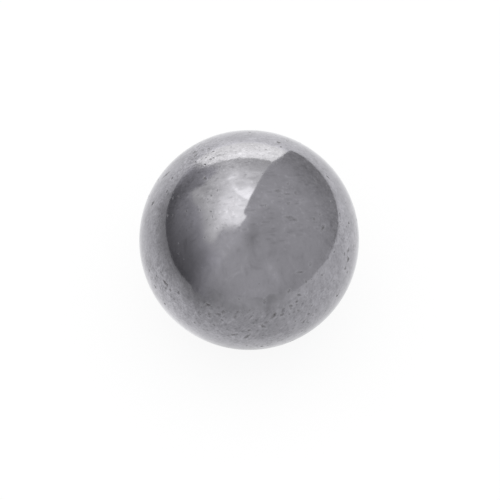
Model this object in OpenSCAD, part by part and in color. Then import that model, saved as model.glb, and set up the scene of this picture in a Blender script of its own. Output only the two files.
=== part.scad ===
// Steel ball: one solid ball of polished steel, as loose bearing balls are made.
// Millimetres, +Z up. The origin is the centre of the ball.

/* [Ball] */
// Diameter of the ball
ball_d = 15; // [3:0.5:50]

/* [Hidden] */

// Facets round the ball where it is drawn as a mesh
$fn = 128;

// Grey of polished steel with years of handling on it
steel_grey = [0.40, 0.39, 0.42];

// A full sphere: grinding and lapping leave no flat, seam or pole on a ball
module ball() {
    color(steel_grey)
        sphere(d = ball_d);
}

ball();
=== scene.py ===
import math
import random

import bmesh
import bpy
from mathutils import Matrix, Vector, noise
from mathutils.kdtree import KDTree


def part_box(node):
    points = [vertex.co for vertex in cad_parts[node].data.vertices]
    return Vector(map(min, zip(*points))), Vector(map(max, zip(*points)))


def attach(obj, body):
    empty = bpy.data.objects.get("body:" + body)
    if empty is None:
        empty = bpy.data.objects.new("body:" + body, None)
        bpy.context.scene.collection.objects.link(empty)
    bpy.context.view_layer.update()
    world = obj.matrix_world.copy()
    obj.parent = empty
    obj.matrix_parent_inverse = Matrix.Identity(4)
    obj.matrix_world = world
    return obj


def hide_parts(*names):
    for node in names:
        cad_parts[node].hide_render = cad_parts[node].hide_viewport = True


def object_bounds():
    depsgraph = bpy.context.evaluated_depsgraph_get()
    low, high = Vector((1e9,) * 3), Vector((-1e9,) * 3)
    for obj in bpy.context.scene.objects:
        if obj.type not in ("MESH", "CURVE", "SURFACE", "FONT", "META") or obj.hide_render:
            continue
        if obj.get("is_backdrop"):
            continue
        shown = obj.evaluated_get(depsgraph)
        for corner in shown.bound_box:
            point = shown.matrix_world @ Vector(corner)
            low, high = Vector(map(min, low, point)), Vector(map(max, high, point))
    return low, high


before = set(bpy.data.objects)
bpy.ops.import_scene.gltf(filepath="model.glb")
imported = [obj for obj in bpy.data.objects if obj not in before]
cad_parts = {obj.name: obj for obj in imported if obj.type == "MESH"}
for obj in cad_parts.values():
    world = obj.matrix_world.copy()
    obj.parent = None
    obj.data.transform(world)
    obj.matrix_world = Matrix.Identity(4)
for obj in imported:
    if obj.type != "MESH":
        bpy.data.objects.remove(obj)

bl_info = {
    "name": "Steel Ball Maker",
    "version": (1, 0, 0),
    "blender": (4, 5, 0),
    "location": "View3D > Sidebar > Steel Ball",
    "description": "Makes a polished, finely pitted steel ball and the light stand it is shown on",
    "category": "Add Mesh",
}

MM = 0.001
CAD_LOW, CAD_HIGH = (Vector(corner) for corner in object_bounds())
BALL_NODE = "ball"
BALL_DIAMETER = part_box(BALL_NODE)[1].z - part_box(BALL_NODE)[0].z

# The ball's middle in the 500 by 500 picture, in pixels from its top left corner
BALL_MIDDLE_X = 249.1
BALL_MIDDLE_Y = 240.0
PICTURE_SIDE = 500.0
SENSOR_WIDTH = 36.0         # of the camera, in millimetres


# ------------------------------------------------------------------ settings a user may change

class BallSettings(bpy.types.PropertyGroup):
    """Sizes and finish of the ball"""
    diameter: bpy.props.FloatProperty(
        name="Diameter", description="Diameter of the ball", unit="LENGTH",
        default=BALL_DIAMETER, min=0.003)
    steel: bpy.props.FloatVectorProperty(
        name="Steel", description="Colour of the polished steel", subtype="COLOR", size=3,
        default=(0.400, 0.394, 0.421), min=0.0, max=1.0)
    oxide: bpy.props.FloatVectorProperty(
        name="Oxide", description="Colour of the dark oxide in the bottom of a pit", subtype="COLOR",
        size=3, default=(0.080, 0.076, 0.080), min=0.0, max=1.0)
    polish: bpy.props.FloatProperty(
        name="Polish", description="Roughness where the lapping is untouched", subtype="FACTOR",
        default=0.07, min=0.02, max=0.5)
    segments: bpy.props.IntProperty(
        name="Segments", description="Faces along each edge of the cube that is rounded into the ball",
        default=84, min=16, max=120)
    loose_pits: bpy.props.IntProperty(
        name="Loose pits", description="Pits scattered over the sides that the camera doesn't face",
        default=110, min=0, max=300)
    seed: bpy.props.IntProperty(
        name="Seed", description="Changes where the loose pits fall and how the marks' outlines waver",
        default=11, min=1)


class StandSettings(bpy.types.PropertyGroup):
    """Camera and light stand"""
    elevation: bpy.props.FloatProperty(
        name="Camera height", description="Angle of the camera above the horizon", subtype="ANGLE",
        default=math.radians(62.0))
    lens: bpy.props.FloatProperty(
        name="Lens", description="Focal length of the camera", subtype="DISTANCE_CAMERA",
        default=200.0, min=20.0)
    view_width: bpy.props.FloatProperty(
        name="View width", description="Width that the camera sees at the ball's centre", unit="LENGTH",
        default=34.12 * MM, min=0.01)
    paper: bpy.props.FloatVectorProperty(
        name="Paper", description="Colour of the white paper that the ball lies on", subtype="COLOR",
        size=3, default=(0.90, 0.90, 0.90), min=0.0, max=1.0)
    light_level: bpy.props.FloatProperty(
        name="Light level", description="Strength of the even light on matt surfaces", default=1.0,
        min=0.0)


# ------------------------------------------------------------------ small helpers

def soft_step(low, high, value):
    """0 up to low, 1 from high and a smooth rise between them."""
    share = min(1.0, max(0.0, (value - low) / (high - low)))
    return share * share * (3.0 - 2.0 * share)


def ramp(value, stops):
    """Height at value on the straight lines through (place, height) stops."""
    if value <= stops[0][0]:
        return stops[0][1]
    for (left, low), (right, high) in zip(stops, stops[1:]):
        if value <= right:
            return low + (high - low) * (value - left) / (right - left)
    return stops[-1][1]


def bell(value, centre, width):
    """Bell curve of height 1 about centre."""
    return math.exp(-((value - centre) / width) ** 2)


def turn_between(azimuth, centre):
    """Angle from centre to azimuth in degrees, the short way round."""
    return (azimuth - centre + 180.0) % 360.0 - 180.0


def rail_point(points, share):
    """Point at share 0 to 1 along the lines that join points."""
    place = share * (len(points) - 1)
    first = min(int(place), len(points) - 2)
    return Vector(points[first]).lerp(Vector(points[first + 1]), place - first)


def new_object(name, bm):
    """Object at the origin that holds the bmesh, which is freed."""
    mesh = bpy.data.meshes.new(name)
    bm.to_mesh(mesh)
    bm.free()
    made = bpy.data.objects.new(name, mesh)
    bpy.context.scene.collection.objects.link(made)
    return made


def view_axes(elevation):
    """Right, up and towards-the-camera directions of the main view."""
    right = Vector((1.0, 0.0, 0.0))
    up = Vector((0.0, math.sin(elevation), math.cos(elevation)))
    return right, up, right.cross(up)


def seen_at(normal, axes, radius, distance):
    """Where the camera sees a spot of the ball, across and up from its middle in millimetres."""
    closer = radius / MM / (1.0 - radius * normal.dot(axes[2]) / distance)
    return normal.dot(axes[0]) * closer, normal.dot(axes[1]) * closer


def camera_position(stand):
    """Where the camera stands, so that the ball's middle falls on its place in the picture."""
    right, up, near = view_axes(stand.elevation)
    pixel = stand.view_width / PICTURE_SIDE
    to_right = (PICTURE_SIDE / 2 - BALL_MIDDLE_X) * pixel
    down = (PICTURE_SIDE / 2 - BALL_MIDDLE_Y) * pixel
    away = stand.view_width * stand.lens / SENSOR_WIDTH
    return near * away + right * to_right - up * down


def spot_normal(across, up_by, radius, axes, eye):
    """Outward direction of the spot that is seen from eye, across and up from the ball's middle."""
    ray = (axes[0] * across + axes[1] * up_by - eye).normalized()
    reach = -eye.dot(ray)
    inside = reach * reach - eye.length_squared + radius * radius
    return (eye + ray * (reach - math.sqrt(max(0.0, inside)))).normalized()


# ------------------------------------------------------------------ marks pressed into the ball

# Pits that stand out: (across, up, width) in millimetres, as the main view shows them.
PITS = (
    # left shoulder
    (-3.78, 5.96, 0.24), (-3.60, 6.04, 0.15), (-3.62, 5.78, 0.17), (-3.91, 5.51, 0.18), (-3.66, 5.32, 0.17),
    (-2.75, 6.24, 0.20), (-2.44, 6.05, 0.17), (-3.17, 6.11, 0.14), (-2.20, 6.75, 0.13), (-1.76, 6.56, 0.14),
    (-1.42, 7.02, 0.14), (-0.85, 7.25, 0.13), (-1.21, 6.35, 0.11), (-3.02, 5.13, 0.15), (-2.80, 5.90, 0.10),
    (-2.96, 5.85, 0.10), (-2.96, 5.63, 0.13), (-2.64, 5.51, 0.13), (-2.44, 5.60, 0.14), (-2.60, 6.17, 0.12),
    (-3.42, 6.22, 0.12), (-3.75, 5.62, 0.12), (-1.95, 6.14, 0.09), (-3.28, 5.46, 0.11),
    # left flank
    (-6.55, 2.55, 0.22), (-6.60, 2.40, 0.25), (-5.60, 3.30, 0.16), (-5.25, 4.20, 0.18), (-6.80, -2.10, 0.18),
    (-6.30, -2.45, 0.18), (-6.00, -2.20, 0.14), (-5.80, -2.85, 0.28), (-5.60, -3.05, 0.26),
    (-5.65, -3.30, 0.18), (-5.40, -3.35, 0.26), (-6.40, -3.20, 0.20), (-4.80, -3.60, 0.20),
    # upper right
    (2.05, 6.65, 0.22), (2.60, 6.75, 0.18), (2.20, 6.35, 0.16), (0.05, 7.35, 0.16), (5.35, 4.30, 0.20),
    (5.60, 2.65, 0.21), (4.55, 3.95, 0.16), (4.84, 1.77, 0.20), (1.15, 2.35, 0.19), (2.70, 2.50, 0.16),
    # right flank
    (6.80, 1.15, 0.18), (6.65, 0.90, 0.13), (6.75, -1.30, 0.28), (6.75, -0.70, 0.16), (7.15, -0.40, 0.17),
    (6.50, -0.95, 0.20), (7.15, -0.70, 0.15), (6.55, -1.95, 0.21), (6.70, -2.20, 0.19), (5.80, -0.80, 0.15),
    (6.00, -3.80, 0.22), (4.20, -1.65, 0.18), (5.20, -4.85, 0.13), (5.60, -4.50, 0.13),
    # underside, large
    (2.70, -3.50, 0.21), (3.40, -3.75, 0.21), (3.25, -4.20, 0.21), (2.85, -4.50, 0.24), (2.25, -5.10, 0.24),
    (4.05, -5.05, 0.20), (3.35, -4.80, 0.18), (3.15, -5.55, 0.16), (0.95, -6.50, 0.16), (0.00, -6.15, 0.21),
    (0.85, -7.25, 0.22), (1.25, -7.20, 0.16), (3.60, -6.20, 0.14), (-2.90, -4.40, 0.24), (-2.75, -5.20, 0.21),
    (-2.10, -5.05, 0.24), (-1.70, -4.90, 0.21), (-3.70, -5.65, 0.18), (-0.75, -4.90, 0.18),
    (-2.58, -4.49, 0.12),
    # underside, small
    (-2.98, -5.08, 0.15), (-3.31, -5.08, 0.11), (-0.69, -4.04, 0.13), (0.03, -4.78, 0.12),
    (-0.33, -4.80, 0.11), (-0.37, -5.15, 0.12), (0.13, -5.22, 0.09), (0.44, -5.50, 0.10), (0.36, -5.87, 0.16),
    (-1.41, -6.13, 0.13), (-1.13, -6.30, 0.11), (0.54, -7.23, 0.14), (1.22, -4.80, 0.13),
    (-2.86, -6.13, 0.13), (-2.40, -5.80, 0.16), (-1.85, -5.46, 0.17), (3.87, -2.80, 0.18),
    (4.24, -2.69, 0.09), (3.24, -4.42, 0.12), (2.86, -4.69, 0.15), (2.37, -4.66, 0.11), (3.58, -4.93, 0.11),
    (2.74, -5.04, 0.15), (4.34, -5.13, 0.15), (4.27, -4.47, 0.16), (4.01, -5.66, 0.13), (2.98, -6.05, 0.16),
    (1.69, -6.21, 0.12), (3.87, -3.94, 0.14), (5.07, -4.03, 0.12), (5.35, -3.30, 0.11), (4.97, -2.39, 0.14),
    (5.77, -2.80, 0.15),
    # inner face
    (-3.04, 4.23, 0.28), (-2.20, 3.40, 0.17), (-2.60, 3.05, 0.14), (-2.85, 2.80, 0.12), (-4.30, 1.95, 0.17),
    (-3.35, 2.00, 0.13), (-2.65, 1.95, 0.13), (-1.85, 1.05, 0.09), (-2.20, 0.80, 0.08), (-3.05, 0.15, 0.13),
)

# Nicks and short scratches: (across, up, length, width, turn in degrees, darkness), as seen in the view.
NICKS = (
    (-5.65, 4.45, 0.80, 0.11, 40.0, 0.55), (1.95, 3.35, 0.50, 0.17, 0.0, 0.50),
    (2.65, 3.85, 0.18, 0.12, 80.0, 0.55), (2.76, 1.54, 0.62, 0.20, -2.0, 0.65),
    (3.12, 1.40, 0.36, 0.20, -20.0, 0.65), (5.04, 0.82, 0.42, 0.19, 62.0, 0.90),
    (4.43, 1.43, 0.30, 0.17, 100.0, 0.60), (3.20, 3.21, 0.26, 0.18, 95.0, 0.50),
    (2.59, 3.14, 0.42, 0.15, -10.0, 0.40), (3.48, -2.20, 0.46, 0.14, 4.0, 0.75),
    (-1.01, -6.46, 0.30, 0.20, 30.0, 0.80), (-0.14, -6.58, 0.56, 0.18, 40.0, 0.85),
    (6.75, -0.72, 0.30, 0.14, 62.0, 0.60), (-2.55, 1.60, 0.20, 0.12, 70.0, 0.15),
    (1.67, -5.15, 0.55, 0.28, 62.0, 0.90), (-2.72, -5.02, 0.46, 0.20, 100.0, 0.60),
    (-0.94, -5.23, 0.46, 0.21, 35.0, 0.50), (1.18, -5.62, 0.40, 0.15, 20.0, 0.55),
    (0.94, -5.88, 0.40, 0.18, -30.0, 0.85), (1.06, -4.20, 0.34, 0.16, 90.0, 0.65),
    (3.70, -5.56, 0.38, 0.17, 50.0, 0.50), (-2.82, -4.42, 0.30, 0.22, 10.0, 0.95),
    (-1.80, -4.92, 0.30, 0.20, 80.0, 0.80),
)


MARK_REACH = 2.0            # a mark ends here, in shares of its half width and half length
PIT_STEEPNESS = 0.20        # depth as a share of the half width
NICK_STEEPNESS = 0.16
PIT_DARKNESS = ((0.08, 0.32), (0.14, 0.62), (0.20, 0.86), (0.28, 1.0))      # by width in millimetres
HOLLOW_FALL = 1.5           # how fast a mark's hollow dies away from its middle
OXIDE_EDGE = (0.30, 1.30)   # the dark oxide fades between these shares of the half width
# The bright rim round a pit is a painted highlight: lighter steel colour where its edge would catch the
# light.
HIGHLIGHT_RIM_PLACE = 1.5             # where the bright rim lies, and how wide it is, in the same shares
HIGHLIGHT_RIM_WIDTH = 0.35
OUTLINE_WAVER = 0.9         # wavers of a mark's outline in each half width
LONG_MARK = 1.5             # a mark drawn out further than this keeps a straighter outline
FACING_LEAST = 0.3          # foreshortening is undone down to this share of facing the camera
RIM_PITS_WIDER = 0.3        # how much wider a pit is made where it is seen edge on
PIT_STRETCH = (1.0, 1.6)    # a pit's length, strength and width vary within these shares
PIT_STRENGTH = (0.75, 1.0)
PIT_WIDTH = (0.8, 1.0)


class Mark:
    """A pit or nick: where it is, half its length and width as shares of the radius, depth and darkness."""

    def __init__(self, normal, half_length, half_width, steepness, dark, along):
        self.normal = normal.normalized()
        self.half_length = half_length
        self.half_width = half_width
        self.depth = steepness * half_width
        self.dark = dark
        self.uneven = half_width * min(1.0, LONG_MARK * half_width / half_length)
        self.along = (along - self.normal * along.dot(self.normal)).normalized()
        self.athwart = self.normal.cross(self.along)

    def press(self, normal):
        """Depth and outward slope at a point, both as shares of the radius, how dark its oxide is and how
        much painted highlight its rim gets.
        """
        uneven = normal + noise.noise_vector(normal * (OUTLINE_WAVER / self.half_width)) * self.uneven
        a = uneven.dot(self.along) / self.half_length
        b = uneven.dot(self.athwart) / self.half_width
        square = a * a + b * b
        if square > MARK_REACH ** 2 or normal.dot(self.normal) < 0.0:
            return 0.0, Vector((0.0, 0.0, 0.0)), 0.0, 0.0
        fall = math.exp(-HOLLOW_FALL * square)
        sink = self.depth * (1.0 - square) * fall
        steep = -2.0 * self.depth * fall * (1.0 + HOLLOW_FALL * (1.0 - square))
        gradient = (self.along * (a / self.half_length) + self.athwart * (b / self.half_width)) * steep
        reach = math.sqrt(square)
        dark = self.dark * (1.0 - soft_step(*OXIDE_EDGE, reach))
        # The last number is a painted highlight, a lighter ring of steel colour round the pit.
        return sink, gradient, dark, self.dark * bell(reach, HIGHLIGHT_RIM_PLACE, HIGHLIGHT_RIM_WIDTH)


def any_direction(draw):
    """Random direction, not of length 1, with no side preferred."""
    return Vector((draw.gauss(0, 1), draw.gauss(0, 1), draw.gauss(0, 1)))


def along_as_seen(normal, axes, turn):
    """Direction in the surface that the camera sees at a turn, as long as it has to be to look 1 long."""
    seen = axes[0] * math.cos(turn) + axes[1] * math.sin(turn)
    return seen - axes[2] * (seen.dot(normal) / max(FACING_LEAST, normal.dot(axes[2])))


def placed_marks(radius, axes, eye, draw):
    """The pits and nicks with a place of their own, set out as the camera sees them."""
    half_unit = 0.5 * MM / radius
    marks = []
    for across, rise, width in PITS:
        normal = spot_normal(across * MM, rise * MM, radius, axes, eye)
        half = half_unit * width * (1.0 + RIM_PITS_WIDER * (1.0 - normal.dot(axes[2])))
        aim = any_direction(draw)
        along = axes[0] * aim.x + axes[1] * aim.y + axes[2] * aim.z
        half_length = half * draw.uniform(*PIT_STRETCH)
        dark = ramp(width, PIT_DARKNESS) * draw.uniform(*PIT_STRENGTH)
        half_width = half * draw.uniform(*PIT_WIDTH)
        marks.append(Mark(normal, half_length, half_width, PIT_STEEPNESS, dark, along))
    for across, rise, length, width, turn, dark in NICKS:
        normal = spot_normal(across * MM, rise * MM, radius, axes, eye)
        along = along_as_seen(normal, axes, math.radians(turn))
        half_length = half_unit * length * along.length
        half_width = half_unit * width / (along.length * max(FACING_LEAST, normal.dot(axes[2])))
        marks.append(Mark(normal, half_length, half_width, NICK_STEEPNESS, dark, along))
    return marks


LOOSE_UP_TO = 0.33          # loose pits stay off the face that turns to the camera by more than this
LOOSE_WIDTHS = (0.09, 0.11, 0.13, 0.16, 0.20)
LOOSE_STRETCHES = (1.0, 1.3, 1.6, 2.2)


def loose_marks(radius, count, draw, near):
    """Pits that fall anywhere but on the face turned to the camera, most of them small, a few drawn out."""
    marks = []
    while len(marks) < count:
        normal = any_direction(draw).normalized()
        if normal.dot(near) > LOOSE_UP_TO:
            continue
        width = draw.choice(LOOSE_WIDTHS)
        half = 0.5 * width * MM / radius
        stretch = draw.choice(LOOSE_STRETCHES)
        dark = ramp(width, PIT_DARKNESS)
        marks.append(Mark(normal, half * stretch, half, PIT_STEEPNESS, dark, any_direction(draw)))
    return marks


# ------------------------------------------------------------------ the ball's mesh

def rounded_cube(radius, segments):
    """Ball with no poles: a cube cut into even squares and blown up to a sphere."""
    bm = bmesh.new()
    bmesh.ops.create_cube(bm, size=2.0)
    bmesh.ops.subdivide_edges(bm, edges=bm.edges[:], cuts=segments - 1, use_grid_fill=True)
    for vert in bm.verts:
        even = Vector([math.tan(part * math.pi / 4) for part in vert.co])
        vert.co = even.normalized() * radius
    return bm


def tree_of(marks):
    """Search tree over the marks' places."""
    tree = KDTree(len(marks))
    for index, mark in enumerate(marks):
        tree.insert(mark.normal, index)
    tree.balance()
    return tree


FINE_REACH = 1.4            # the mesh is finer out to this share of a mark's half width and half length


def refine_near_marks(bm, marks, radius, steps):
    """Cuts the faces near each mark finer, so that its wall is real geometry."""
    centres = tree_of(marks)
    widest = max(mark.half_length for mark in marks)
    edge = math.pi / 2 / round(math.sqrt(len(bm.faces) / 6))
    for _ in range(steps):
        cut = {}
        for face in bm.faces:
            normal = face.calc_center_median().normalized()
            near = centres.find_range(normal, FINE_REACH * widest + edge)
            if any(face_is_near(normal, marks[index], edge) for _, index, _ in near):
                cut.update(dict.fromkeys(face.edges))
        bmesh.ops.subdivide_edges(bm, edges=list(cut), cuts=1, use_grid_fill=True)
        for vert in bm.verts:
            vert.co = vert.co.normalized() * radius
        edge *= 0.5


def face_is_near(normal, mark, edge):
    """True where a face lies on a mark or within half an edge of its rim."""
    a = normal.dot(mark.along) / (FINE_REACH * mark.half_length + edge / 2)
    b = normal.dot(mark.athwart) / (FINE_REACH * mark.half_width + edge / 2)
    return a * a + b * b < 1.0


# Where the surface is worn, as the main view shows it: (across, up, reach) in millimetres, and how much.
WORN_AREAS = (
    (-3.3, 5.9, 1.7, 0.58), (-6.0, -2.7, 2.0, 0.46), (0.0, -5.7, 2.4, 0.22), (-3.6, -4.9, 1.6, 0.15),
    (6.7, 0.2, 1.8, 0.17), (-0.9, 4.6, 1.3, 0.22), (4.6, -4.0, 1.6, 0.05), (-4.9, 0.3, 1.5, -0.10),
)
# Where the surface is wavy as well, in the same terms.
WAVY_AREAS = (
    (-1.2, -5.3, 2.0, 0.9), (1.8, -5.2, 1.8, 1.0), (4.0, -3.6, 1.5, 0.9), (-4.0, -4.6, 1.6, 0.8),
    (5.4, -1.6, 1.2, 0.5),
)
# Where short slanting scuffs lie close together, in the same terms.
SCUFFED_AREAS = (
    (-1.6, -5.4, 2.2, 0.65), (1.6, -5.6, 2.0, 0.70), (3.8, -4.4, 1.6, 0.55), (-5.8, -3.0, 1.2, 0.40),
    (-3.7, -5.3, 1.4, 0.40), (5.0, -3.2, 1.3, 0.30), (-6.6, 0.5, 1.7, 0.25), (6.6, 0.2, 1.4, 0.10),
)
# Where the strokes of wiping that lie across the ball show more, or less, in the same terms.
FEATHERED_AREAS = ((-1.4, 4.4, 1.9, 0.28), (-1.3, 2.2, 1.4, 0.15), (-4.6, 0.2, 1.6, -0.25))
AREA_FACING = (-0.05, 0.25)             # the areas fade out as the surface turns away from the camera
WAVE_STRETCH = Vector((1.0, 1.0, 0.45))
WAVE_LENGTH = 0.50                      # millimetres, as are the depths
WAVE_DEPTH_CALM = 0.0003
WAVE_DEPTH_WORN = 0.012
RIPPLE_HEIGHT = 0.5                     # ripples on the waves, as shares of the waves' own
RIPPLES_PER_WAVE = 2.1
RIPPLE_PLACE = Vector((5.0, 3.0, 1.0))
FAR_PATCH_PLACE = Vector((9.0, 2.0, 4.0))
FAR_PATCHES = 1.7                       # wavy patches of the far side, per radius
FAR_PATCH_EDGE = (0.1, 0.6)
FAR_SIDE_FACING = (0.0, -0.4)
SLOPE_STEP = 0.08                       # the slope is measured over this share of a wave


def area_sum(seen, facing, areas):
    """Sum of the soft areas at a point that faces the camera, 0 on the far side."""
    across, rise = seen
    total = sum(amount * math.exp(-((across - x) ** 2 + (rise - y) ** 2) / reach ** 2)
                for x, y, reach, amount in areas)
    return total * soft_step(*AREA_FACING, facing)


def wave_height(normal, per_radius):
    """Shallow waviness of hand-worn steel, about -1 to 1, drawn out up and down the ball."""
    place = Vector(part * stretch for part, stretch in zip(normal, WAVE_STRETCH)) * per_radius
    return noise.noise(place) + RIPPLE_HEIGHT * noise.noise(place * RIPPLES_PER_WAVE + RIPPLE_PLACE)


def wave_at(normal, axes, radius, distance):
    """Height of the waviness and its outward slope, both as shares of the radius."""
    facing = normal.dot(axes[2])
    wavy = area_sum(seen_at(normal, axes, radius, distance), facing, WAVY_AREAS)
    patch = noise.noise(normal * FAR_PATCHES + FAR_PATCH_PLACE)
    wavy += soft_step(*FAR_PATCH_EDGE, patch) * soft_step(*FAR_SIDE_FACING, facing)
    depth = (WAVE_DEPTH_CALM + WAVE_DEPTH_WORN * min(1.0, wavy)) * MM / radius
    per_radius = radius / (WAVE_LENGTH * MM)
    step = SLOPE_STEP / per_radius
    here = wave_height(normal, per_radius)
    slope = Vector((0.0, 0.0, 0.0))
    side = normal.orthogonal().normalized()
    for way in (side, normal.cross(side)):
        slope -= way * ((wave_height(normal + way * step, per_radius) - here) / step)
    return here * depth, slope * depth


def press_marks(bm, marks, axes, radius, distance):
    """Moves the vertices into the marks and waves, paints pit oxide and a painted highlight round it, and
    returns the true normals.
    """
    centres = tree_of(marks)
    reach = MARK_REACH * max(mark.half_length for mark in marks)
    pit = bm.verts.layers.float.new("pit")
    rim = bm.verts.layers.float.new("rim")
    normals = []
    for vert in bm.verts:
        normal = vert.co.normalized()
        rise, slope = wave_at(normal, axes, radius, distance)
        sink, dark, bright = 0.0, 0.0, 0.0
        for _, index, _ in centres.find_range(normal, reach):
            own_sink, own_slope, own_dark, own_bright = marks[index].press(normal)
            sink += own_sink
            slope += own_slope
            dark = max(dark, own_dark)
            bright = max(bright, own_bright)
        vert.co = normal * (radius * (1.0 - max(0.0, sink) + min(0.0, rise)))
        vert[pit] = dark
        # Painted highlight round the pits.
        vert[rim] = bright
        normals.append((normal + slope).normalized())
    return normals


def unwrap_on_cube(bm, name, gutter):
    """Lays the six sides of the cube out three by two, so that they fill the map."""
    layer = bm.loops.layers.uv.new(name)
    for face in bm.faces:
        centre = face.calc_center_median()
        axis = max(range(3), key=lambda part: abs(centre[part]))
        sign = 1.0 if centre[axis] > 0 else -1.0
        side = 2 * axis + (sign < 0)
        across, rise = (axis + 1) % 3, (axis + 2) % 3
        for loop in face.loops:
            co = loop.vert.co
            spot = []
            for part in (co[across] * sign, co[rise]):
                share = 0.5 + math.atan2(part, abs(co[axis])) * 2 / math.pi
                spot.append(min(1.0, max(0.0, share)) * (1 - 2 * gutter) + gutter)
            loop[layer].uv = ((side % 3 + spot[0]) / 3, (side // 3 + spot[1]) / 2)


# Strokes of film left by fingers: (points across and up, half width, softness of the edge, strength).
FILM_STROKES = (
    (((0.55, 0.75), (0.10, 0.30), (0.15, -0.60), (0.60, -1.30)), 0.50, 0.9, 0.45),
    (((0.55, 0.45), (0.24, 0.10), (0.14, -0.45), (0.42, -1.05)), 0.12, 0.6, 0.60),
    (((1.60, -4.00), (1.36, -4.45), (1.24, -4.70)), 0.28, 0.6, 1.10),
    (((1.95, -2.70), (2.60, -2.55)), 0.35, 1.0, -0.40),
    (((1.45, -1.80), (1.70, -2.20)), 0.35, 1.0, -0.40),
    (((3.60, -2.00), (3.30, -2.45), (2.40, -3.50)), 0.35, 1.0, 0.35),
    (((-1.20, 4.22), (-0.69, 4.22)), 0.14, 0.5, -1.20), (((-0.10, 4.39), (0.62, 4.56)), 0.12, 0.6, -0.90),
    (((-1.95, 2.58), (-1.30, 2.56)), 0.15, 0.5, -1.00), (((-2.08, 2.32), (-1.48, 2.38)), 0.12, 0.6, -0.70),
    (((-1.60, 2.12), (-1.58, 1.80)), 0.12, 0.6, -0.90), (((-0.62, 2.40), (-0.47, 2.27)), 0.20, 0.6, -0.60),
    (((-1.96, 2.84), (-1.82, 2.84)), 0.13, 0.5, -0.80), (((-1.74, 3.89), (-1.48, 3.89)), 0.12, 0.6, 1.00),
    (((-3.15, 3.44), (-2.55, 3.46)), 0.12, 0.6, 0.90), (((-0.05, 4.16), (0.18, 4.16)), 0.11, 0.6, 1.00),
    (((-0.75, 3.98), (-0.42, 4.25)), 0.26, 0.8, 0.40), (((-1.05, 3.75), (-1.20, 3.52)), 0.13, 0.6, -0.80),
    (((-2.60, 1.95), (-2.45, 1.80)), 0.16, 0.8, 0.45), (((-1.40, 1.62), (-0.60, 1.66)), 0.12, 0.8, -0.50),
    (((-1.45, 1.22), (-0.70, 1.24)), 0.12, 0.8, -0.45), (((0.00, 3.56), (0.06, 3.56)), 0.12, 0.5, -0.80),
)


def segment_distance(point, start, end):
    """Distance of a flat point from the line between two others."""
    place, start, end = Vector(point), Vector(start), Vector(end)
    run = end - start
    share = min(1.0, max(0.0, (place - start).dot(run) / run.length_squared))
    return (place - start - run * share).length


def line_distance(point, points):
    """Distance of a flat point from the lines that join points."""
    return min(segment_distance(point, a, b) for a, b in zip(points, points[1:]))


def stroke_strength(point, strokes):
    """Sum of the film strokes at a point given across and up in millimetres."""
    total = 0.0
    for points, half_width, soft, strength in strokes:
        edge = half_width * soft
        away = line_distance(point, points)
        total += strength * (1.0 - soft_step(half_width - edge, half_width + edge, away))
    return total


# How wear is spread: each kind comes in between two shares of facing the camera.
RING_FACING = (0.58, 0.82)
WORN_FACING = (0.765, 0.80)
FAR_FACING = (0.05, -0.35)
FILM_FACING = 0.2                       # film lies only where the ball faces the camera by more than this
CALM_WEAR = 0.08                        # share of fine pitting in the calm middle
RING_WEAR = 0.45                        # what the ring round it adds
FAR_WEAR = 0.55                         # share of fine pitting on the far side
LEAST_WEAR = 0.02
PATCHES_PER_RADIUS = 3.1
PATCH_PLACE = Vector((4.0, 1.0, 7.0))
PATCH_DETAIL = (0.6, 2.0, 3)            # roughness, step in size and number of layers of the patches
UPRIGHT_EDGE = 0.12                     # half the band in which the wiping turns from across to upright


def paint_wear(bm, axes, radius, distance):
    """Paints how finely pitted and how scuffed the skin is, the film on it and which way it was wiped."""
    names = ("wear", "upright", "film", "scuff")
    wear, upright, film, scuff = (bm.verts.layers.float.new(name) for name in names)
    for vert in bm.verts:
        normal = vert.co.normalized()
        seen = seen_at(normal, axes, radius, distance)
        patch = noise.fractal(normal * PATCHES_PER_RADIUS + PATCH_PLACE, *PATCH_DETAIL)
        facing = normal.dot(axes[2])
        ring = 1.0 - soft_step(*RING_FACING, facing + 0.10 * patch)
        rough = 1.0 - soft_step(*WORN_FACING, facing + 0.02 * patch)
        front = CALM_WEAR + (RING_WEAR * ring + area_sum(seen, facing, WORN_AREAS)) * rough
        back = FAR_WEAR + 0.6 * patch
        amount = front + (back - front) * soft_step(*FAR_FACING, facing)
        vert[wear] = min(1.0, max(LEAST_WEAR, amount * (0.9 + 0.45 * patch)))
        vert[scuff] = area_sum(seen, facing, SCUFFED_AREAS) * rough
        wiped_up = 1.0 - soft_step(-UPRIGHT_EDGE, UPRIGHT_EDGE, normal.dot(axes[1]) + 0.2 * patch)
        vert[upright] = wiped_up - area_sum(seen, facing, FEATHERED_AREAS)
        if facing > FILM_FACING:
            vert[film] = stroke_strength(seen, FILM_STROKES)


# ------------------------------------------------------------------ shader node groups

def effect_group(name, inputs, outputs):
    """Shader node group that reads a place: its number inputs are (label, default), its outputs labels."""
    group = bpy.data.node_groups.new(name, "ShaderNodeTree")
    group.interface.new_socket("Place", in_out="INPUT", socket_type="NodeSocketVector")
    for label, default in inputs:
        socket = group.interface.new_socket(label, in_out="INPUT", socket_type="NodeSocketFloat")
        socket.default_value = default
    for label in outputs:
        group.interface.new_socket(label, in_out="OUTPUT", socket_type="NodeSocketFloat")
    start = group.nodes.new("NodeGroupInput")
    return group, start.outputs[:len(inputs) + 1], group.nodes.new("NodeGroupOutput").inputs


def feed(tree, value, socket):
    """Links value to the socket where it is a socket itself, and sets it where it is a number or colour."""
    if isinstance(value, bpy.types.NodeSocket):
        tree.links.new(value, socket)
    else:
        socket.default_value = value


def math_node(tree, operation, *values, clamp=False):
    """Math node; each value is a socket or a number."""
    node = tree.nodes.new("ShaderNodeMath")
    node.operation = operation
    node.use_clamp = clamp
    for value, socket in zip(values, node.inputs):
        feed(tree, value, socket)
    return node.outputs[0]


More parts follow.
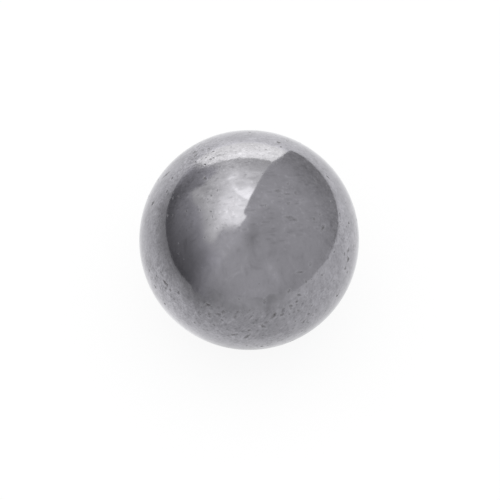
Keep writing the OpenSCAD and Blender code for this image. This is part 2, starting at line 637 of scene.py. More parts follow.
def weighted_sum(tree, total, *terms):
    """Adds to a total the (socket, weight) terms, one after the other."""
    for socket, weight in terms:
        total = math_node(tree, "MULTIPLY_ADD", socket, weight, total)
    return total


def soft_range(tree, value, low, high):
    """Map Range node that goes smoothly from 0 at low to 1 at high."""
    node = tree.nodes.new("ShaderNodeMapRange")
    node.interpolation_type = "SMOOTHSTEP"
    node.inputs["From Min"].default_value = low
    node.inputs["From Max"].default_value = high
    tree.links.new(value, node.inputs["Value"])
    return node.outputs["Result"]


def noise_node(tree, place, scale, detail=2.0, roughness=0.5, distortion=0.0):
    """Noise texture read at place; scale is a socket or a number."""
    node = tree.nodes.new("ShaderNodeTexNoise")
    node.inputs["Detail"].default_value = detail
    node.inputs["Roughness"].default_value = roughness
    node.inputs["Distortion"].default_value = distortion
    tree.links.new(place, node.inputs["Vector"])
    feed(tree, scale, node.inputs["Scale"])
    return node.outputs["Fac"]


def drawn_out(tree, place, turn, stretch):
    """Place with its texture drawn out: turn lays the axes and stretch says how much along each."""
    node = tree.nodes.new("ShaderNodeMapping")
    node.vector_type = "TEXTURE"
    node.inputs["Rotation"].default_value = [math.radians(angle) for angle in turn]
    node.inputs["Scale"].default_value = stretch
    tree.links.new(place, node.inputs["Vector"])
    return node.outputs["Vector"]


def grain_group():
    """Etched grain of worn steel: uneven patches of light and dark about 0, and the height with them."""
    group, (place, grains, wear), ends = effect_group(
        "Etched grain", [("Grains per metre", 1500.0), ("Wear", 0.5)], ["Shade", "Height"])
    upright = drawn_out(group, place, (-17.0, 0.0, 0.0), (1.0, 1.0, 1.5))
    strokes = noise_node(group, upright, grains, 2.0, 0.9, 0.5)
    specks = noise_node(group, place, math_node(group, "MULTIPLY", grains, 3.0), 1.0, 0.9)
    both = math_node(group, "MULTIPLY_ADD", specks, 0.45, math_node(group, "MULTIPLY", strokes, 0.55))
    level = math_node(group, "SUBTRACT", both, 0.5)
    group.links.new(math_node(group, "MULTIPLY", level, wear), ends["Shade"])
    group.links.new(math_node(group, "MULTIPLY", both, wear), ends["Height"])
    return group


def feather_group():
    """Feathery strokes that wiping leaves on polished steel: sparse soft light and dark about 0."""
    group, (place, scale, up_share), ends = effect_group(
        "Feathery strokes", [("Strokes per metre", 850.0), ("Upright", 0.5)], ["Shade"])
    across = drawn_out(group, place, (0.0, 20.0, 12.0), (1.9, 1.0, 1.0))
    upright = drawn_out(group, place, (-17.0, 0.0, 0.0), (1.0, 1.0, 1.8))
    wiped_across, wiped_up = (
        math_node(group, "SUBTRACT", noise_node(group, way, scale, 2.0, 0.75, 0.5), 0.5)
        for way in (across, upright))
    rest = math_node(group, "SUBTRACT", 1.0, up_share)
    level = math_node(group, "MULTIPLY", wiped_across, rest)
    level = math_node(group, "MULTIPLY_ADD", wiped_up, up_share, level)
    size = math_node(group, "SQRT", math_node(group, "ABSOLUTE", level))
    group.links.new(math_node(group, "MULTIPLY", level, size), ends["Shade"])
    return group


def speck_group():
    """Scattered specks of uneven outline, each of its own size and strength, in a share of the cells."""
    group, (place, cells_per_metre, share_filled, size), ends = effect_group(
        "Specks", [("Cells per metre", 5000.0), ("Share filled", 0.3), ("Size", 0.3)], ["Mask"])
    uneven = group.nodes.new("ShaderNodeTexNoise")
    uneven.inputs["Detail"].default_value = 1.0
    group.links.new(place, uneven.inputs["Vector"])
    group.links.new(math_node(group, "MULTIPLY", cells_per_metre, 1.2), uneven.inputs["Scale"])
    shift = group.nodes.new("ShaderNodeVectorMath")
    shift.operation = "MULTIPLY_ADD"
    moves = (uneven.outputs["Color"], math_node(group, "DIVIDE", 0.6, cells_per_metre), place)
    for value, socket in zip(moves, shift.inputs):
        group.links.new(value, socket)
    cells = group.nodes.new("ShaderNodeTexVoronoi")
    cells.feature = "F1"
    group.links.new(shift.outputs["Vector"], cells.inputs["Vector"])
    group.links.new(cells_per_metre, cells.inputs["Scale"])
    chance = group.nodes.new("ShaderNodeSeparateColor")
    group.links.new(cells.outputs["Color"], chance.inputs["Color"])
    filled = math_node(group, "LESS_THAN", chance.outputs["Red"], share_filled)
    spread = math_node(group, "MULTIPLY_ADD", chance.outputs["Green"], 0.9, 0.4)
    inside = math_node(group, "DIVIDE", cells.outputs["Distance"], math_node(group, "MULTIPLY", spread, size))
    strength = math_node(group, "MULTIPLY_ADD", chance.outputs["Blue"], 0.8, 0.2)
    speck = math_node(group, "MULTIPLY", soft_range(group, inside, 1.1, 0.3), filled)
    group.links.new(math_node(group, "MULTIPLY", speck, strength), ends["Mask"])
    return group


def hairline_group():
    """Sparse hairlines left by lapping and handling, all along one direction of the given place."""
    group, (place, lines_per_metre, share), ends = effect_group(
        "Hairlines", [("Lines per metre", 5000.0), ("Share", 0.3)], ["Mask"])
    thin = group.nodes.new("ShaderNodeMapping")
    thin.inputs["Scale"].default_value = (1.0, 0.035, 0.035)
    group.links.new(place, thin.inputs["Vector"])
    lines = noise_node(group, thin.outputs["Vector"], lines_per_metre, 1.0, 0.4)
    least = math_node(group, "SUBTRACT", 0.78, math_node(group, "MULTIPLY", share, 0.2))
    over = math_node(group, "SUBTRACT", lines, least)
    group.links.new(math_node(group, "MULTIPLY", over, 12.0, clamp=True), ends["Mask"])
    return group


def add_group(tree, group, *values):
    """Places a node group, feeds its inputs in their order and returns its outputs."""
    node = tree.nodes.new("ShaderNodeGroup")
    node.node_tree = group
    for value, socket in zip(values, node.inputs):
        feed(tree, value, socket)
    return node.outputs


def new_material(name):
    """Material with nodes, and its node tree."""
    material = bpy.data.materials.new(name)
    material.use_nodes = True
    return material, material.node_tree


def attribute_value(tree, name):
    """Number painted on the mesh under that name."""
    node = tree.nodes.new("ShaderNodeAttribute")
    node.attribute_name = name
    return node.outputs["Fac"]


def mix_colour(tree, share, first, second, blend="MIX"):
    """Mix node for two colours, each a socket or three numbers."""
    node = tree.nodes.new("ShaderNodeMix")
    node.data_type = "RGBA"
    node.blend_type = blend
    feed(tree, share, node.inputs[0])
    for value, socket in ((first, node.inputs[6]), (second, node.inputs[7])):
        feed(tree, value if isinstance(value, bpy.types.NodeSocket) else (*value, 1.0), socket)
    return node.outputs[2]


# ------------------------------------------------------------------ the ball's material

GRAIN_DEPTH = 0.006 * MM


def polished_steel(ball):
    """Polished steel with etched grain, wiping strokes, specks, hairlines, finger film, dark pits and a
    painted highlight round them.
    """
    material, tree = new_material("polished_steel")
    shader = tree.nodes["Principled BSDF"]
    place = tree.nodes.new("ShaderNodeTexCoord").outputs["Object"]
    wear, film, pit, rim, scuff, up_share = (
        attribute_value(tree, name) for name in ("wear", "film", "pit", "rim", "scuff", "upright"))

    grain_shade, grain_height = add_group(tree, grain_group(), place, 2000.0, wear)
    feathers = add_group(tree, feather_group(), place, 1300.0, up_share)["Shade"]
    hairlines = add_group(tree, hairline_group(), place, 9000.0, 0.35)["Mask"]
    across = drawn_out(tree, place, (0.0, 14.0, 12.0), (3.2, 1.0, 1.0))
    upright = drawn_out(tree, place, (-17.0, -8.0, 0.0), (1.0, 1.0, 2.4))
    slanting = drawn_out(tree, place, (-17.0, 38.0, 0.0), (1.0, 1.0, 2.2))
    share = math_node(tree, "MULTIPLY", wear, 0.50)
    few = math_node(tree, "MULTIPLY", wear, 0.35)
    # Every kind of speck: where it is drawn, cells per metre, share of the cells filled, and size.
    specks = speck_group()
    dark_dabs = add_group(tree, specks, across, 5200.0, 0.50, 0.60)["Mask"]
    light_dabs = add_group(tree, specks, upright, 4700.0, 0.45, 0.60)["Mask"]
    dark_scuffs = add_group(tree, specks, slanting, 5600.0, 0.50, 0.62)["Mask"]
    light_scuffs = add_group(tree, specks, slanting, 5200.0, 0.50, 0.60)["Mask"]
    holes = add_group(tree, specks, place, 2600.0, share, 0.26)["Mask"]
    pores = add_group(tree, specks, place, 5200.0, share, 0.36)["Mask"]
    burrs = add_group(tree, specks, place, 3300.0, few, 0.28)["Mask"]

    # The shade of the steel about 1: each effect with its strength; rim is a painted highlight round the
    # pits.
    dabs = weighted_sum(tree, 0.0, (light_dabs, 0.14), (dark_dabs, -0.19))
    fewer_dabs = math_node(tree, "MULTIPLY_ADD", up_share, -0.85, 1.0)
    scuffed = weighted_sum(tree, 0.0, (light_scuffs, 0.24), (dark_scuffs, -0.33))
    shade = weighted_sum(
        tree, 1.0, (grain_shade, 2.10), (feathers, 1.2), (dabs, fewer_dabs), (scuffed, scuff), (film, -0.12),
        (hairlines, -0.03), (rim, 0.14), (burrs, 0.20))
    level = tree.nodes.new("ShaderNodeCombineColor")
    for socket in level.inputs:
        tree.links.new(shade, socket)
    clean = mix_colour(tree, 1.0, ball.steel, level.outputs["Color"], "MULTIPLY")
    mottle = math_node(tree, "MULTIPLY_ADD", noise_node(tree, place, 9000.0, 1.0), 0.90, 0.42)
    dark = weighted_sum(tree, 0.0, (pit, mottle), (holes, 0.45))
    dark = math_node(tree, "MULTIPLY_ADD", pores, 0.30, dark, clamp=True)
    tree.links.new(mix_colour(tree, dark, clean, ball.oxide), shader.inputs["Base Color"])

    bare = math_node(tree, "MULTIPLY_ADD", dark, -0.85, 1.0)
    tree.links.new(bare, shader.inputs["Metallic"])
    rough = weighted_sum(tree, ball.polish, (wear, 0.06), (dark, 0.30))
    tree.links.new(rough, shader.inputs["Roughness"])

    height = weighted_sum(tree, grain_height, (holes, -0.25))
    bump = tree.nodes.new("ShaderNodeBump")
    bump.inputs["Distance"].default_value = GRAIN_DEPTH
    tree.links.new(height, bump.inputs["Height"])
    tree.links.new(bump.outputs["Normal"], shader.inputs["Normal"])
    return material


# ------------------------------------------------------------------ the light stand's paint

# Azimuth is 0 at the front, 90 at the right and -90 at the left as seen from the ball's centre, and
# elevation is above the horizon, both in degrees. Each paint function is given a point of its card with
# its azimuth and elevation. It gives how brightly the card glows there, and how far it covers what is
# behind it.

def azimuth_of(point):
    """Azimuth of a point in degrees."""
    return math.degrees(math.atan2(point.x, -point.y))


def patch_sum(azimuth, elevation, patches):
    """Sum of soft lighter and darker patches: (azimuth, elevation, how wide, how high, change)."""
    return sum(change * bell(azimuth, across, wide) * bell(elevation, rise, high)
               for across, rise, wide, high, change in patches)


# Painted light and shade on the tent: (azimuth, elevation, how wide, how high, change).
TENT_PATCHES = (
    (-48, 58, 34, 22, 0.15), (-28, 34, 34, 14, 0.02), (-33, -4, 20, 16, -0.1), (3, 8, 16, 14, 0.04),
    (16, 28, 26, 12, 0.04), (6, 64, 14, 8, -0.1), (48, 22, 22, 40, -0.03), (29, 50, 8, 8, 0.03),
    (52, 62, 14, 12, -0.03), (76, 30, 20, 14, 0.02), (132, 66, 42, 20, 0.07), (90, 72, 30, 12, -0.03),
    (-28, 78, 22, 7, 0.08), (-22, 66, 14, 12, 0.05), (-48, 48, 9, 7, -0.03),
)


def tent_paint(point, azimuth, elevation):
    """Glow of the tent's grey cloth, with painted light overhead and beside the softbox."""
    glow = 0.59 + 0.09 * soft_step(72.0, 90.0, elevation)
    return glow + patch_sum(azimuth, elevation, TENT_PATCHES), 1.0


# Painted shade on the board: (azimuth, elevation, how wide, how high, change).
BOARD_PATCHES = (
    (142, 1, 36, 25, -0.21), (90, -3, 24, 13, -0.09), (112, -7, 24, 6, -0.03), (48, -2, 26, 12, -0.03),
)


def board_paint(point, azimuth, elevation):
    """Grey board on the right, painted darker towards the back where it stands in shade, with a painted
    shadow along its foot.
    """
    glow = 0.59 + patch_sum(azimuth, elevation, BOARD_PATCHES) - 0.05 * bell(azimuth, 22.0, 12.0)
    # Painted shadow in a thin strip along the board's foot, on its right part.
    low = 1.0 - soft_step(0.6, 2.2, point.z - FLOOR_HEIGHT)
    glow *= 1.0 - 0.34 * low * soft_step(76.0, 96.0, azimuth)
    return glow, (1.0 - soft_step(24.0, 38.0, elevation)) * soft_step(22.0, 42.0, azimuth)


SWEEP_GLOW = ((-8, 1.26), (0, 1.44), (10, 1.62), (18, 1.76))        # by elevation


def sweep_paint(point, azimuth, elevation):
    """Bright sheet behind the ball, brightest towards its top edge."""
    turn = azimuth % 360.0
    glow = ramp(elevation, SWEEP_GLOW) + 0.10 * bell(turn, 173.0, 7.0) * bell(elevation, 15.0, 7.0)
    return glow, 1.0 - soft_step(206.0, 217.0, turn)


# Glow of the softbox's rear and front panel, by elevation.
SOFTBOX_BACK = (
    (18, 0.8), (26, 0.96), (32, 1.03), (38, 1.15), (46, 1.24), (52, 1.24), (58, 1.33), (64, 1.52),
    (75, 1.55),
)
SOFTBOX_FRONT = (
    (25, 0.66), (35, 0.7), (42, 0.77), (46, 0.85), (50, 0.93), (54, 1.07), (58, 1.25), (62, 1.42),
    (66, 1.5), (70, 1.58), (75, 1.64), (90, 1.6),
)
SOFTBOX_PATCHES = (
    (-159, 46, 8, 7, 0.16), (-140, 50, 9, 6, -0.08), (-66, 50, 9, 5, 0.12), (-100, 58, 14, 6, -0.05),
    (-138, 77, 22, 6, 0.09), (-115, 47, 14, 5, 0.08),
)
SEAM = ((-147, 195), (-106, 160), (-84, 139), (-64, 117), (-47, 101), (-31, 87), (-3, 70), (20, 56))


def softbox_paint(point, azimuth, elevation):
    """Large soft light overhead in two panels: the rear one is brightest along the seam between them."""
    turn = azimuth if azimuth < 90.0 else azimuth - 360.0
    front = ramp(elevation, SOFTBOX_FRONT)
    glow = front + (ramp(elevation, SOFTBOX_BACK) - front) * soft_step(-112.0, -164.0, turn)
    glow *= 1.0 - 0.24 * soft_step(-82.0, -58.0, turn) * bell(elevation, 62.5, 7.5)
    glow *= 1.0 - 0.15 * soft_step(-176.0, -190.0, turn) * (1.0 - soft_step(50.0, 70.0, elevation))
    glow *= 1.0 - 0.10 * soft_step(-166.0, -178.0, turn) * (1.0 - soft_step(36.0, 48.0, elevation))
    glow += patch_sum(turn, elevation, SOFTBOX_PATCHES)
    wide = soft_step(-50.0, 8.0, point.x)
    behind = soft_step(-1.5, 1.5, point.y - ramp(point.x, SEAM))
    behind *= 1.0 - soft_step(12.0 + 26.0 * wide, 44.0 + 48.0 * wide, line_distance(point.xy, SEAM))
    glow += 0.60 * behind * soft_step(-105.0, -28.0, point.x)
    inward = line_distance(point.xy, SOFTBOX_RIGHT)
    soft = 1.0 + 27.0 * soft_step(-45.0, -110.0, point.x) + 55.0 * bell(point.x, -110.0, 48.0)
    return glow, soft_step(-215.0, -160.0, point.y) * soft_step(0.0, soft, inward)


# Elevation of the flag's top edge by azimuth, and its glow by elevation: painted shade, darkest at the foot.
FLAG_TOP = (
    (-165, 26), (-156, 29), (-150, 31.5), (-144, 35), (-140, 32.5), (-136, 31.5), (-132, 32.5), (-127, 26),
    (-122, 21.5), (-118, 24.5), (-115, 28), (-110, 34), (-105, 39.5), (-100, 42), (-90, 43.5), (-80, 43.5),
    (-70, 41), (-60, 38.5), (-50, 39),
)
FLAG_SHADE = (
    (-12, 0.145), (-3, 0.155), (5, 0.18), (12, 0.22), (17, 0.25), (26, 0.33), (30, 0.38), (34, 0.43),
    (38, 0.48), (44, 0.56),
)
# How much the bright sheet behind the flag lights the flag's end, by azimuth and then by elevation.
FLAG_END_LIGHT = (
    (-152, 0.47), (-144, 0.33), (-140, 0.26), (-136, 0.2), (-132, 0.13), (-128, 0.06), (-122, 0),
)
FLAG_END_RISE = ((-3, 1.8), (2, 1.3), (6, 0.8), (14, 0.4), (24, 0.45))
# How much the light from the front reaches the flag's other end, by azimuth.
FLAG_FRONT_LIGHT = ((-56, 0), (-50, 0.06), (-43, 0.16), (-36, 0.24))
# Painted light and shade on the flag: (azimuth, elevation, how wide, how high, change).
FLAG_PATCHES = (
    (-112, 19, 9, 6, 0.06), (-120, 25, 7, 5, 0.06), (-127, 14, 5, 4, -0.04), (-131, 30, 4, 4, -0.07),
    (-74, 24, 9, 7, -0.04), (-64, 13.5, 8, 5, -0.02),
)


def flag_paint(point, azimuth, elevation):
    """Dark cloth on the left with painted shade, darkest at its foot, painted light at its ends and a soft
    uneven top.
    """
    glow = ramp(elevation, FLAG_SHADE)
    glow += 0.05 * soft_step(-78.0, -102.0, azimuth) * soft_step(2.0, 18.0, elevation)
    glow += ramp(azimuth, FLAG_END_LIGHT) * ramp(elevation, FLAG_END_RISE)
    glow += ramp(azimuth, FLAG_FRONT_LIGHT) + patch_sum(azimuth, elevation, FLAG_PATCHES)
    # Painted shade, deepest low in the middle of the foot.
    glow *= 1.0 - 0.15 * bell(azimuth, -72.0, 20.0) * bell(elevation, -3.0, 8.0)
    soft = 6.0 + 1.5 * soft_step(-118.0, -108.0, azimuth) - 3.0 * bell(azimuth, -130.0, 6.0)
    top = ramp(azimuth, FLAG_TOP)
    high = soft_step(14.0, 24.0, elevation)
    cover = (1.0 - soft_step(top - soft, top + soft, elevation)) * (1.0 - soft_step(-48.0, -24.0, azimuth))
    cover *= soft_step(-153.7 - 5.0 * high, -143.2 - 4.0 * high, azimuth)
    return min(glow, 0.8), cover


# Softer lights and shades on the paper: (azimuth, distance, width in degrees, depth, change), with distance
# and depth in millimetres.
FLOOR_PATCHES = (
    (-26, 27, 34, 13, 0.06), (-114, 36, 12, 12, 0.1), (-88, 27, 18, 9, 0.06), (-56, 12, 13, 4, -0.12),
    (138, 28, 24, 9, -0.04), (86, 47, 10, 15, -0.14), (-36, 15, 22, 6, 0.08), (-25, 8.5, 45, 3, 0.11),
    (52, 48, 16, 26, 0.05), (60, 12, 45, 6, -0.045), (120, 20, 30, 8, -0.03), (-138, 90, 14, 60, 0.06),
    (92, 27, 8, 6, 0.05), (-64, 26, 8, 6, -0.07), (-57, 30, 6, 8, 0.05), (-50, 16.5, 12, 4, 0.1),
    (7, 45, 5, 20, 0.05), (-9, 36, 7, 20, -0.05), (17.5, 33, 3.5, 14, -0.08), (22, 13, 4, 3, -0.09),
    (29, 26, 5, 5, 0.05), (38, 18.6, 6, 3, -0.07), (21, 6.2, 11, 2.4, 0.13), (-47, 18, 7, 5, -0.08),
    (-35, 27, 6, 6, 0.04), (-42, 12, 7, 3.5, -0.06), (18.7, 16.3, 6, 4, 0.07), (42, 15, 6, 4, -0.04),
    (7, 107, 8, 60, 0.04), (-10, 70, 5, 40, -0.04), (36, 28, 6, 6, -0.03), (-17, 17, 8, 5, 0.05),
    (-37, 33, 6, 12, -0.05), (50, 33, 12, 12, -0.05), (88, 36, 12, 14, -0.05),
)


def paper_paint(point):
    """Light painted on the paper: brightest under and behind the ball, shaded in front of the dark cloth and
    along the board's foot, with a painted shadow where the ball touches it.
    """
    azimuth, distance = azimuth_of(point), point.xy.length
    left = azimuth if azimuth < 90.0 else azimuth - 360.0
    shade = soft_step(-8.0, -52.0, left) * soft_step(-140.0, -116.0, left)
    far = 0.76 + 0.20 * math.cos(math.radians(azimuth - 150.0)) - 0.30 * shade
    far -= 0.05 * bell(azimuth, 14.0, 14.0)
    far -= 0.07 * bell(azimuth, 20.0, 16.0) * soft_step(50.0, 90.0, distance)
    far += (0.08 * bell(left, -40.0, 8.0) + 0.05 * bell(left, -6.0, 12.0)) * soft_step(60.0, 90.0, distance)
    behind = soft_step(0.86, 0.97, math.cos(math.radians(azimuth - 180.0)))
    far += behind * (0.06 + 0.0024 * max(0.0, min(distance, 300.0) - 30.0))
    spread = 6.0 + 20.0 * (soft_step(-4.0, -70.0, left) * soft_step(-175.0, -120.0, left)) ** 2
    near = 1.2 + 0.25 * bell(left, -42.0, 26.0)
    lit = far + (near - far) * math.exp(-distance / spread)
    for across, reach, wide, deep, change in FLOOR_PATCHES:
        lit += change * bell(turn_between(azimuth, across), 0.0, wide) * bell(distance, reach, deep)
    # Painted shade along the board's foot.
    by_board = line_distance(point.xy, BOARD_FOOT)
    lit *= 1.0 - 0.34 * math.exp(-by_board / 9.0) * bell(azimuth, 132.0, 26.0)
    # Painted shadow where the ball touches the paper.
    return lit * (1.0 - 0.93 * bell(distance, 0.0, 4.0))


# ------------------------------------------------------------------ the light stand's sheets

# Floor points where the cards stand, rails that the other sheets hang between, and sizes, in millimetres.
FLOOR_HEIGHT = CAD_LOW.z / MM
BOARD_FOOT = (
    (30.2, 78), (29.5, 67), (30.5, 60), (34.5, 54), (39, 48), (43.5, 42), (48, 35), (52.5, 28), (58, 20.5),
    (64, 12.5), (70, 4.5), (77, -4), (85, -16), (93, -31), (98, -45), (98, -58), (91, -69), (80, -79),
    (66, -85), (48, -87),
)
FLAG_FOOT = (
    (-14, -36), (-32, -42), (-56, -39), (-84, -28), (-156, -7), (-218, 48), (-254, 116), (-300, 200),
    (-320, 300), (-290, 380), (-230, 430), (-160, 460),
)
SWEEP_FOOT = ((-168, 200, -7), (-130, 200, -7), (-40, 200, -7), (20, 200, -7), (83, 200, -7))
SWEEP_HEAD = ((-160, 200, 20), (-130, 200, 61), (-58, 200, 87), (10, 200, 93), (67, 200, 95))
SOFTBOX_RIGHT = (
    (-300, -217), (-262, -198), (-228, -174), (-200, -146), (-180, -120), (-160, -114), (-129, -126),
    (-95, -120), (-69, -104), (-50, -81), (-35, -57), (-20, -36), (-10, -21), (-25, -6), (-24, 9),
    (-6, 45), (2, 72), (35, 151), (78, 267), (138, 429), (191, 565), (320, 920),
)
SOFTBOX_LEFT = (
    (-420, -205), (-420, -186), (-420, -164), (-420, -140), (-420, -120), (-420, -105), (-420, -96),
    (-420, -90), (-420, -80), (-420, -70), (-420, -57), (-420, -36), (-420, -21), (-420, -6), (-420, 9),
    (-425, 45), (-430, 72), (-460, 151), (-500, 267), (-600, 429), (-600, 565), (-500, 920),
)
SOFTBOX_HEIGHT = 300
TENT_RADIUS = 1100
PAPER_HALF_SIDE = 1500.0
PAPER_SQUARES = 160         # along each side
PAPER_ROUGHNESS = 0.95
PAPER_LIFT = 0.80           # share of the paper that glows by itself for the camera, and how brightly
PAPER_LIFT_GLOW = 1.05
# Tints of what glows: bright sheet, softbox, paper, grey cloth and board, dark cloth.
LIGHT_TINT = (1.0, 1.0, 0.973)
SOFTBOX_TINT = (1.0, 1.0, 0.987)
PAPER_TINT = (1.0, 1.0, 1.010)
GREY_TINT = (1.004, 1.0, 1.018)
SHADE_TINT = (1.006, 1.0, 1.045)


def glowing(tree, tint, strength):
    """Emission shader; strength is a socket or a number."""
    node = tree.nodes.new("ShaderNodeEmission")
    node.inputs["Color"].default_value = (*tint, 1.0)
    feed(tree, strength, node.inputs["Strength"])
    return node.outputs[0]


def blended(tree, share, first, second):
    """Mix Shader: first where share is 0, second where it is 1."""
    node = tree.nodes.new("ShaderNodeMixShader")
    for value, socket in zip((share, first, second), node.inputs):
        feed(tree, value, socket)
    return node.outputs[0]


def card_material(name, tint):
    """Glowing card: its brightness and how far it covers what is behind it are painted on the mesh."""
    material, tree = new_material(name)
    tree.nodes.remove(tree.nodes["Principled BSDF"])
    clear = tree.nodes.new("ShaderNodeBsdfTransparent").outputs[0]
    light = glowing(tree, tint, attribute_value(tree, "glow"))
    shown = blended(tree, attribute_value(tree, "cover"), clear, light)
    tree.links.new(shown, tree.nodes["Material Output"].inputs["Surface"])
    return material


def show_in_reflections_only(card):
    """Marks a card as part of the stand, seen only in polished surfaces."""
    card.visible_camera = False
    card.visible_diffuse = False
    card.visible_shadow = False
    card.visible_volume_scatter = False
    card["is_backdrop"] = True


def hang_card(name, bm, paint, tint):
    """Finishes a card: paints glow and cover on its vertices and brings it from millimetres to metres."""
    glow = bm.verts.layers.float.new("glow")
    cover = bm.verts.layers.float.new("cover")
    for vert in bm.verts:
        elevation = math.degrees(math.asin(vert.co.normalized().z))
        vert[glow], vert[cover] = paint(vert.co, azimuth_of(vert.co), elevation)
    bmesh.ops.scale(bm, vec=(MM, MM, MM), verts=bm.verts[:])
    card = new_object(name, bm)
    card.data.materials.append(card_material(name, tint))
    show_in_reflections_only(card)


def sheet_between(foot, head, columns, rows):
    """Curved sheet that runs along two rails, foot and head, given in millimetres."""
    bm = bmesh.new()
    bmesh.ops.create_grid(bm, x_segments=columns, y_segments=rows, size=0.5)
    for vert in bm.verts:
        along, rise = vert.co.x + 0.5, vert.co.y + 0.5
        vert.co = rail_point(foot, along).lerp(rail_point(head, along), rise)
    return bm


def raised(points, height, lean=0.0):
    """Rail of floor points lifted to a height, plus lean times their distance from the ball."""
    return [(x, y, height + lean * math.hypot(x, y)) for x, y in points]


def hang_cards():
    """Tent, board, sweep, softbox and flag round the ball."""
    tent = bmesh.new()
    bmesh.ops.create_uvsphere(tent, u_segments=180, v_segments=90, radius=TENT_RADIUS)
    hang_card("grey_tent", tent, tent_paint, GREY_TINT)
    board = raised(BOARD_FOOT, FLOOR_HEIGHT), raised(BOARD_FOOT, 0.0, 1.0)
    softbox = raised(SOFTBOX_RIGHT, SOFTBOX_HEIGHT), raised(SOFTBOX_LEFT, SOFTBOX_HEIGHT)
    flag = raised(FLAG_FOOT, FLOOR_HEIGHT), raised(FLAG_FOOT, 0.0, 1.2)
    sheets = (
        ("grey_board", board, 140, 90, board_paint, GREY_TINT),
        ("back_sweep", (SWEEP_FOOT, SWEEP_HEAD), 60, 30, sweep_paint, LIGHT_TINT),
        ("overhead_softbox", softbox, 240, 90, softbox_paint, SOFTBOX_TINT),
        ("dark_flag", flag, 120, 60, flag_paint, SHADE_TINT),
    )
    for name, rails, columns, rows, paint, tint in sheets:
        hang_card(name, sheet_between(*rails, columns, rows), paint, tint)


def paper_material(paper):
    """White paper: matt for the shadow, lifted to white for the camera, painted light in reflections."""
    material, tree = new_material("white_paper")
    shader = tree.nodes["Principled BSDF"]
    shader.inputs["Base Color"].default_value = (*paper, 1.0)
    shader.inputs["Roughness"].default_value = PAPER_ROUGHNESS
    shader.inputs["Specular IOR Level"].default_value = 0.0
    matt = shader.outputs[0]
    ray = tree.nodes.new("ShaderNodeLightPath").outputs
    lifted = blended(tree, PAPER_LIFT, matt, glowing(tree, (1.0, 1.0, 1.0), PAPER_LIFT_GLOW))
    by_camera = blended(tree, ray["Is Camera Ray"], matt, lifted)
    mirrored = math_node(tree, "MAXIMUM", ray["Is Glossy Ray"], ray["Is Transmission Ray"])
    pool = glowing(tree, PAPER_TINT, attribute_value(tree, "glow"))
    shown = blended(tree, mirrored, by_camera, pool)
    tree.links.new(shown, tree.nodes["Material Output"].inputs["Surface"])
    return material


def lay_paper(paper):
    """White paper floor, with squares that grow away from the ball and light painted on it for reflections.
    """
    bm = bmesh.new()
    bmesh.ops.create_grid(bm, x_segments=PAPER_SQUARES, y_segments=PAPER_SQUARES, size=1.0)
    glow = bm.verts.layers.float.new("glow")
    for vert in bm.verts:
        across, along = (PAPER_HALF_SIDE * part * part * part for part in vert.co.xy)
        vert.co = Vector((across, along, FLOOR_HEIGHT))
        vert[glow] = paper_paint(vert.co)
    bmesh.ops.scale(bm, vec=(MM, MM, MM), verts=bm.verts[:])
    floor = new_object("paper_floor", bm)
    floor.data.materials.append(paper_material(paper))
    floor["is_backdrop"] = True


def light_world(level):
    """Even soft light on matt surfaces and plain white wherever the world itself is seen."""
    world = bpy.data.worlds.new("studio")
    bpy.context.scene.world = world
    world.use_nodes = True
    tree = world.node_tree
    even = tree.nodes["Background"]
    white = tree.nodes.new("ShaderNodeBackground")
    for background in (even, white):
        background.inputs["Color"].default_value = (1.0, 1.0, 1.0, 1.0)
    even.inputs["Strength"].default_value = level
    ray = tree.nodes.new("ShaderNodeLightPath").outputs
    mirrored = math_node(tree, "MAXIMUM", ray["Is Glossy Ray"], ray["Is Transmission Ray"])
    seen = math_node(tree, "MAXIMUM", mirrored, ray["Is Camera Ray"])
    shown = blended(tree, seen, even.outputs[0], white.outputs[0])
    tree.links.new(shown, tree.nodes["World Output"].inputs["Surface"])


def place_camera(stand):
    """Camera on the ball from above the front, with the ball a little left of and above the middle."""
    right, up, near = view_axes(stand.elevation)
    data = bpy.data.cameras.new("camera")
    data.lens = stand.lens
    data.sensor_width = SENSOR_WIDTH
    data.clip_start = 0.01
    data.clip_end = 10.0
    camera = bpy.data.objects.new("camera", data)
    bpy.context.scene.collection.objects.link(camera)
    turn = Matrix((right, up, near)).transposed().to_4x4()
    camera.matrix_world = Matrix.Translation(camera_position(stand)) @ turn
    bpy.context.scene.camera = camera


# ------------------------------------------------------------------ operators

SIZE_LEEWAY = 1.01          # the ball may be this much larger than its solid before it is refused
FINER_STEPS = 2             # how often the faces near a mark are halved
MAP_GUTTER = 0.006          # empty share along each side of the cube in the map


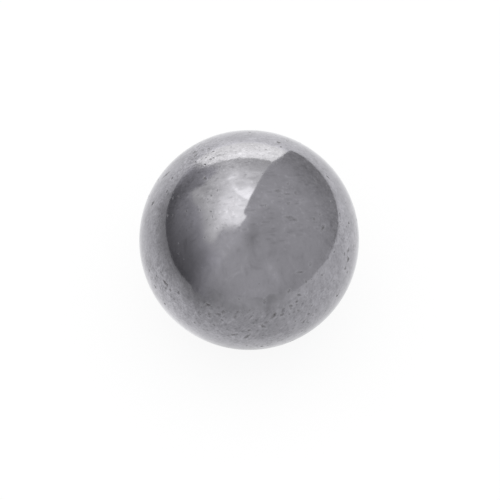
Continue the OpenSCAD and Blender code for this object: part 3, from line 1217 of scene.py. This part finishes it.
class STEELBALL_OT_ball(bpy.types.Operator):
    """Make the polished steel ball in place of its plain solid"""
    bl_idname = "steelball.make_ball"
    bl_label = "Make Ball"

    def execute(self, context):
        ball = context.scene.steel_ball
        stand = context.scene.steel_ball_stand
        axes = view_axes(stand.elevation)
        radius = ball.diameter / 2
        if (CAD_HIGH - CAD_LOW).length * SIZE_LEEWAY < math.sqrt(3.0) * ball.diameter:
            raise RuntimeError("the ball is larger than its solid")
        draw = random.Random(ball.seed)
        noise.seed_set(ball.seed)
        eye = camera_position(stand)
        marks = placed_marks(radius, axes, eye, draw)
        marks += loose_marks(radius, ball.loose_pits, draw, axes[2])
        bm = rounded_cube(radius, ball.segments)
        refine_near_marks(bm, marks, radius, FINER_STEPS)
        paint_wear(bm, axes, radius, eye.length)
        unwrap_on_cube(bm, "OFBake", MAP_GUTTER)
        normals = press_marks(bm, marks, axes, radius, eye.length)
        for face in bm.faces:
            face.smooth = True
        piece = new_object("steel_ball", bm)
        piece.data.normals_split_custom_set_from_vertices(normals)
        piece.data.materials.append(polished_steel(ball))
        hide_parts(BALL_NODE)
        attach(piece, "root")
        return {"FINISHED"}


class STEELBALL_OT_stand(bpy.types.Operator):
    """Set up the paper floor, the cards, the light and the camera"""
    bl_idname = "steelball.make_stand"
    bl_label = "Set Up Light Stand"

    def execute(self, context):
        stand = context.scene.steel_ball_stand
        lay_paper(stand.paper)
        hang_cards()
        light_world(stand.light_level)
        place_camera(stand)
        context.scene.view_settings.view_transform = "Standard"
        return {"FINISHED"}


class STEELBALL_PT_sidebar(bpy.types.Panel):
    """Settings and makers of the steel ball"""
    bl_label = "Steel Ball"
    bl_space_type = "VIEW_3D"
    bl_region_type = "UI"
    bl_category = "Steel Ball"

    def draw(self, context):
        for group, operator in ((context.scene.steel_ball, STEELBALL_OT_ball),
                                (context.scene.steel_ball_stand, STEELBALL_OT_stand)):
            box = self.layout.box()
            for name in group.bl_rna.properties.keys():
                if name not in ("rna_type", "name"):
                    box.prop(group, name)
            box.operator(operator.bl_idname)


CLASSES = (BallSettings, StandSettings, STEELBALL_OT_ball, STEELBALL_OT_stand, STEELBALL_PT_sidebar)


def register():
    for one in CLASSES:
        bpy.utils.register_class(one)
    bpy.types.Scene.steel_ball = bpy.props.PointerProperty(type=BallSettings)
    bpy.types.Scene.steel_ball_stand = bpy.props.PointerProperty(type=StandSettings)


def unregister():
    del bpy.types.Scene.steel_ball_stand
    del bpy.types.Scene.steel_ball
    for one in reversed(CLASSES):
        bpy.utils.unregister_class(one)


def main():
    """Makes the ball and its stand."""
    register()
    bpy.ops.steelball.make_stand()
    bpy.ops.steelball.make_ball()


if __name__ == "__main__":
    main()
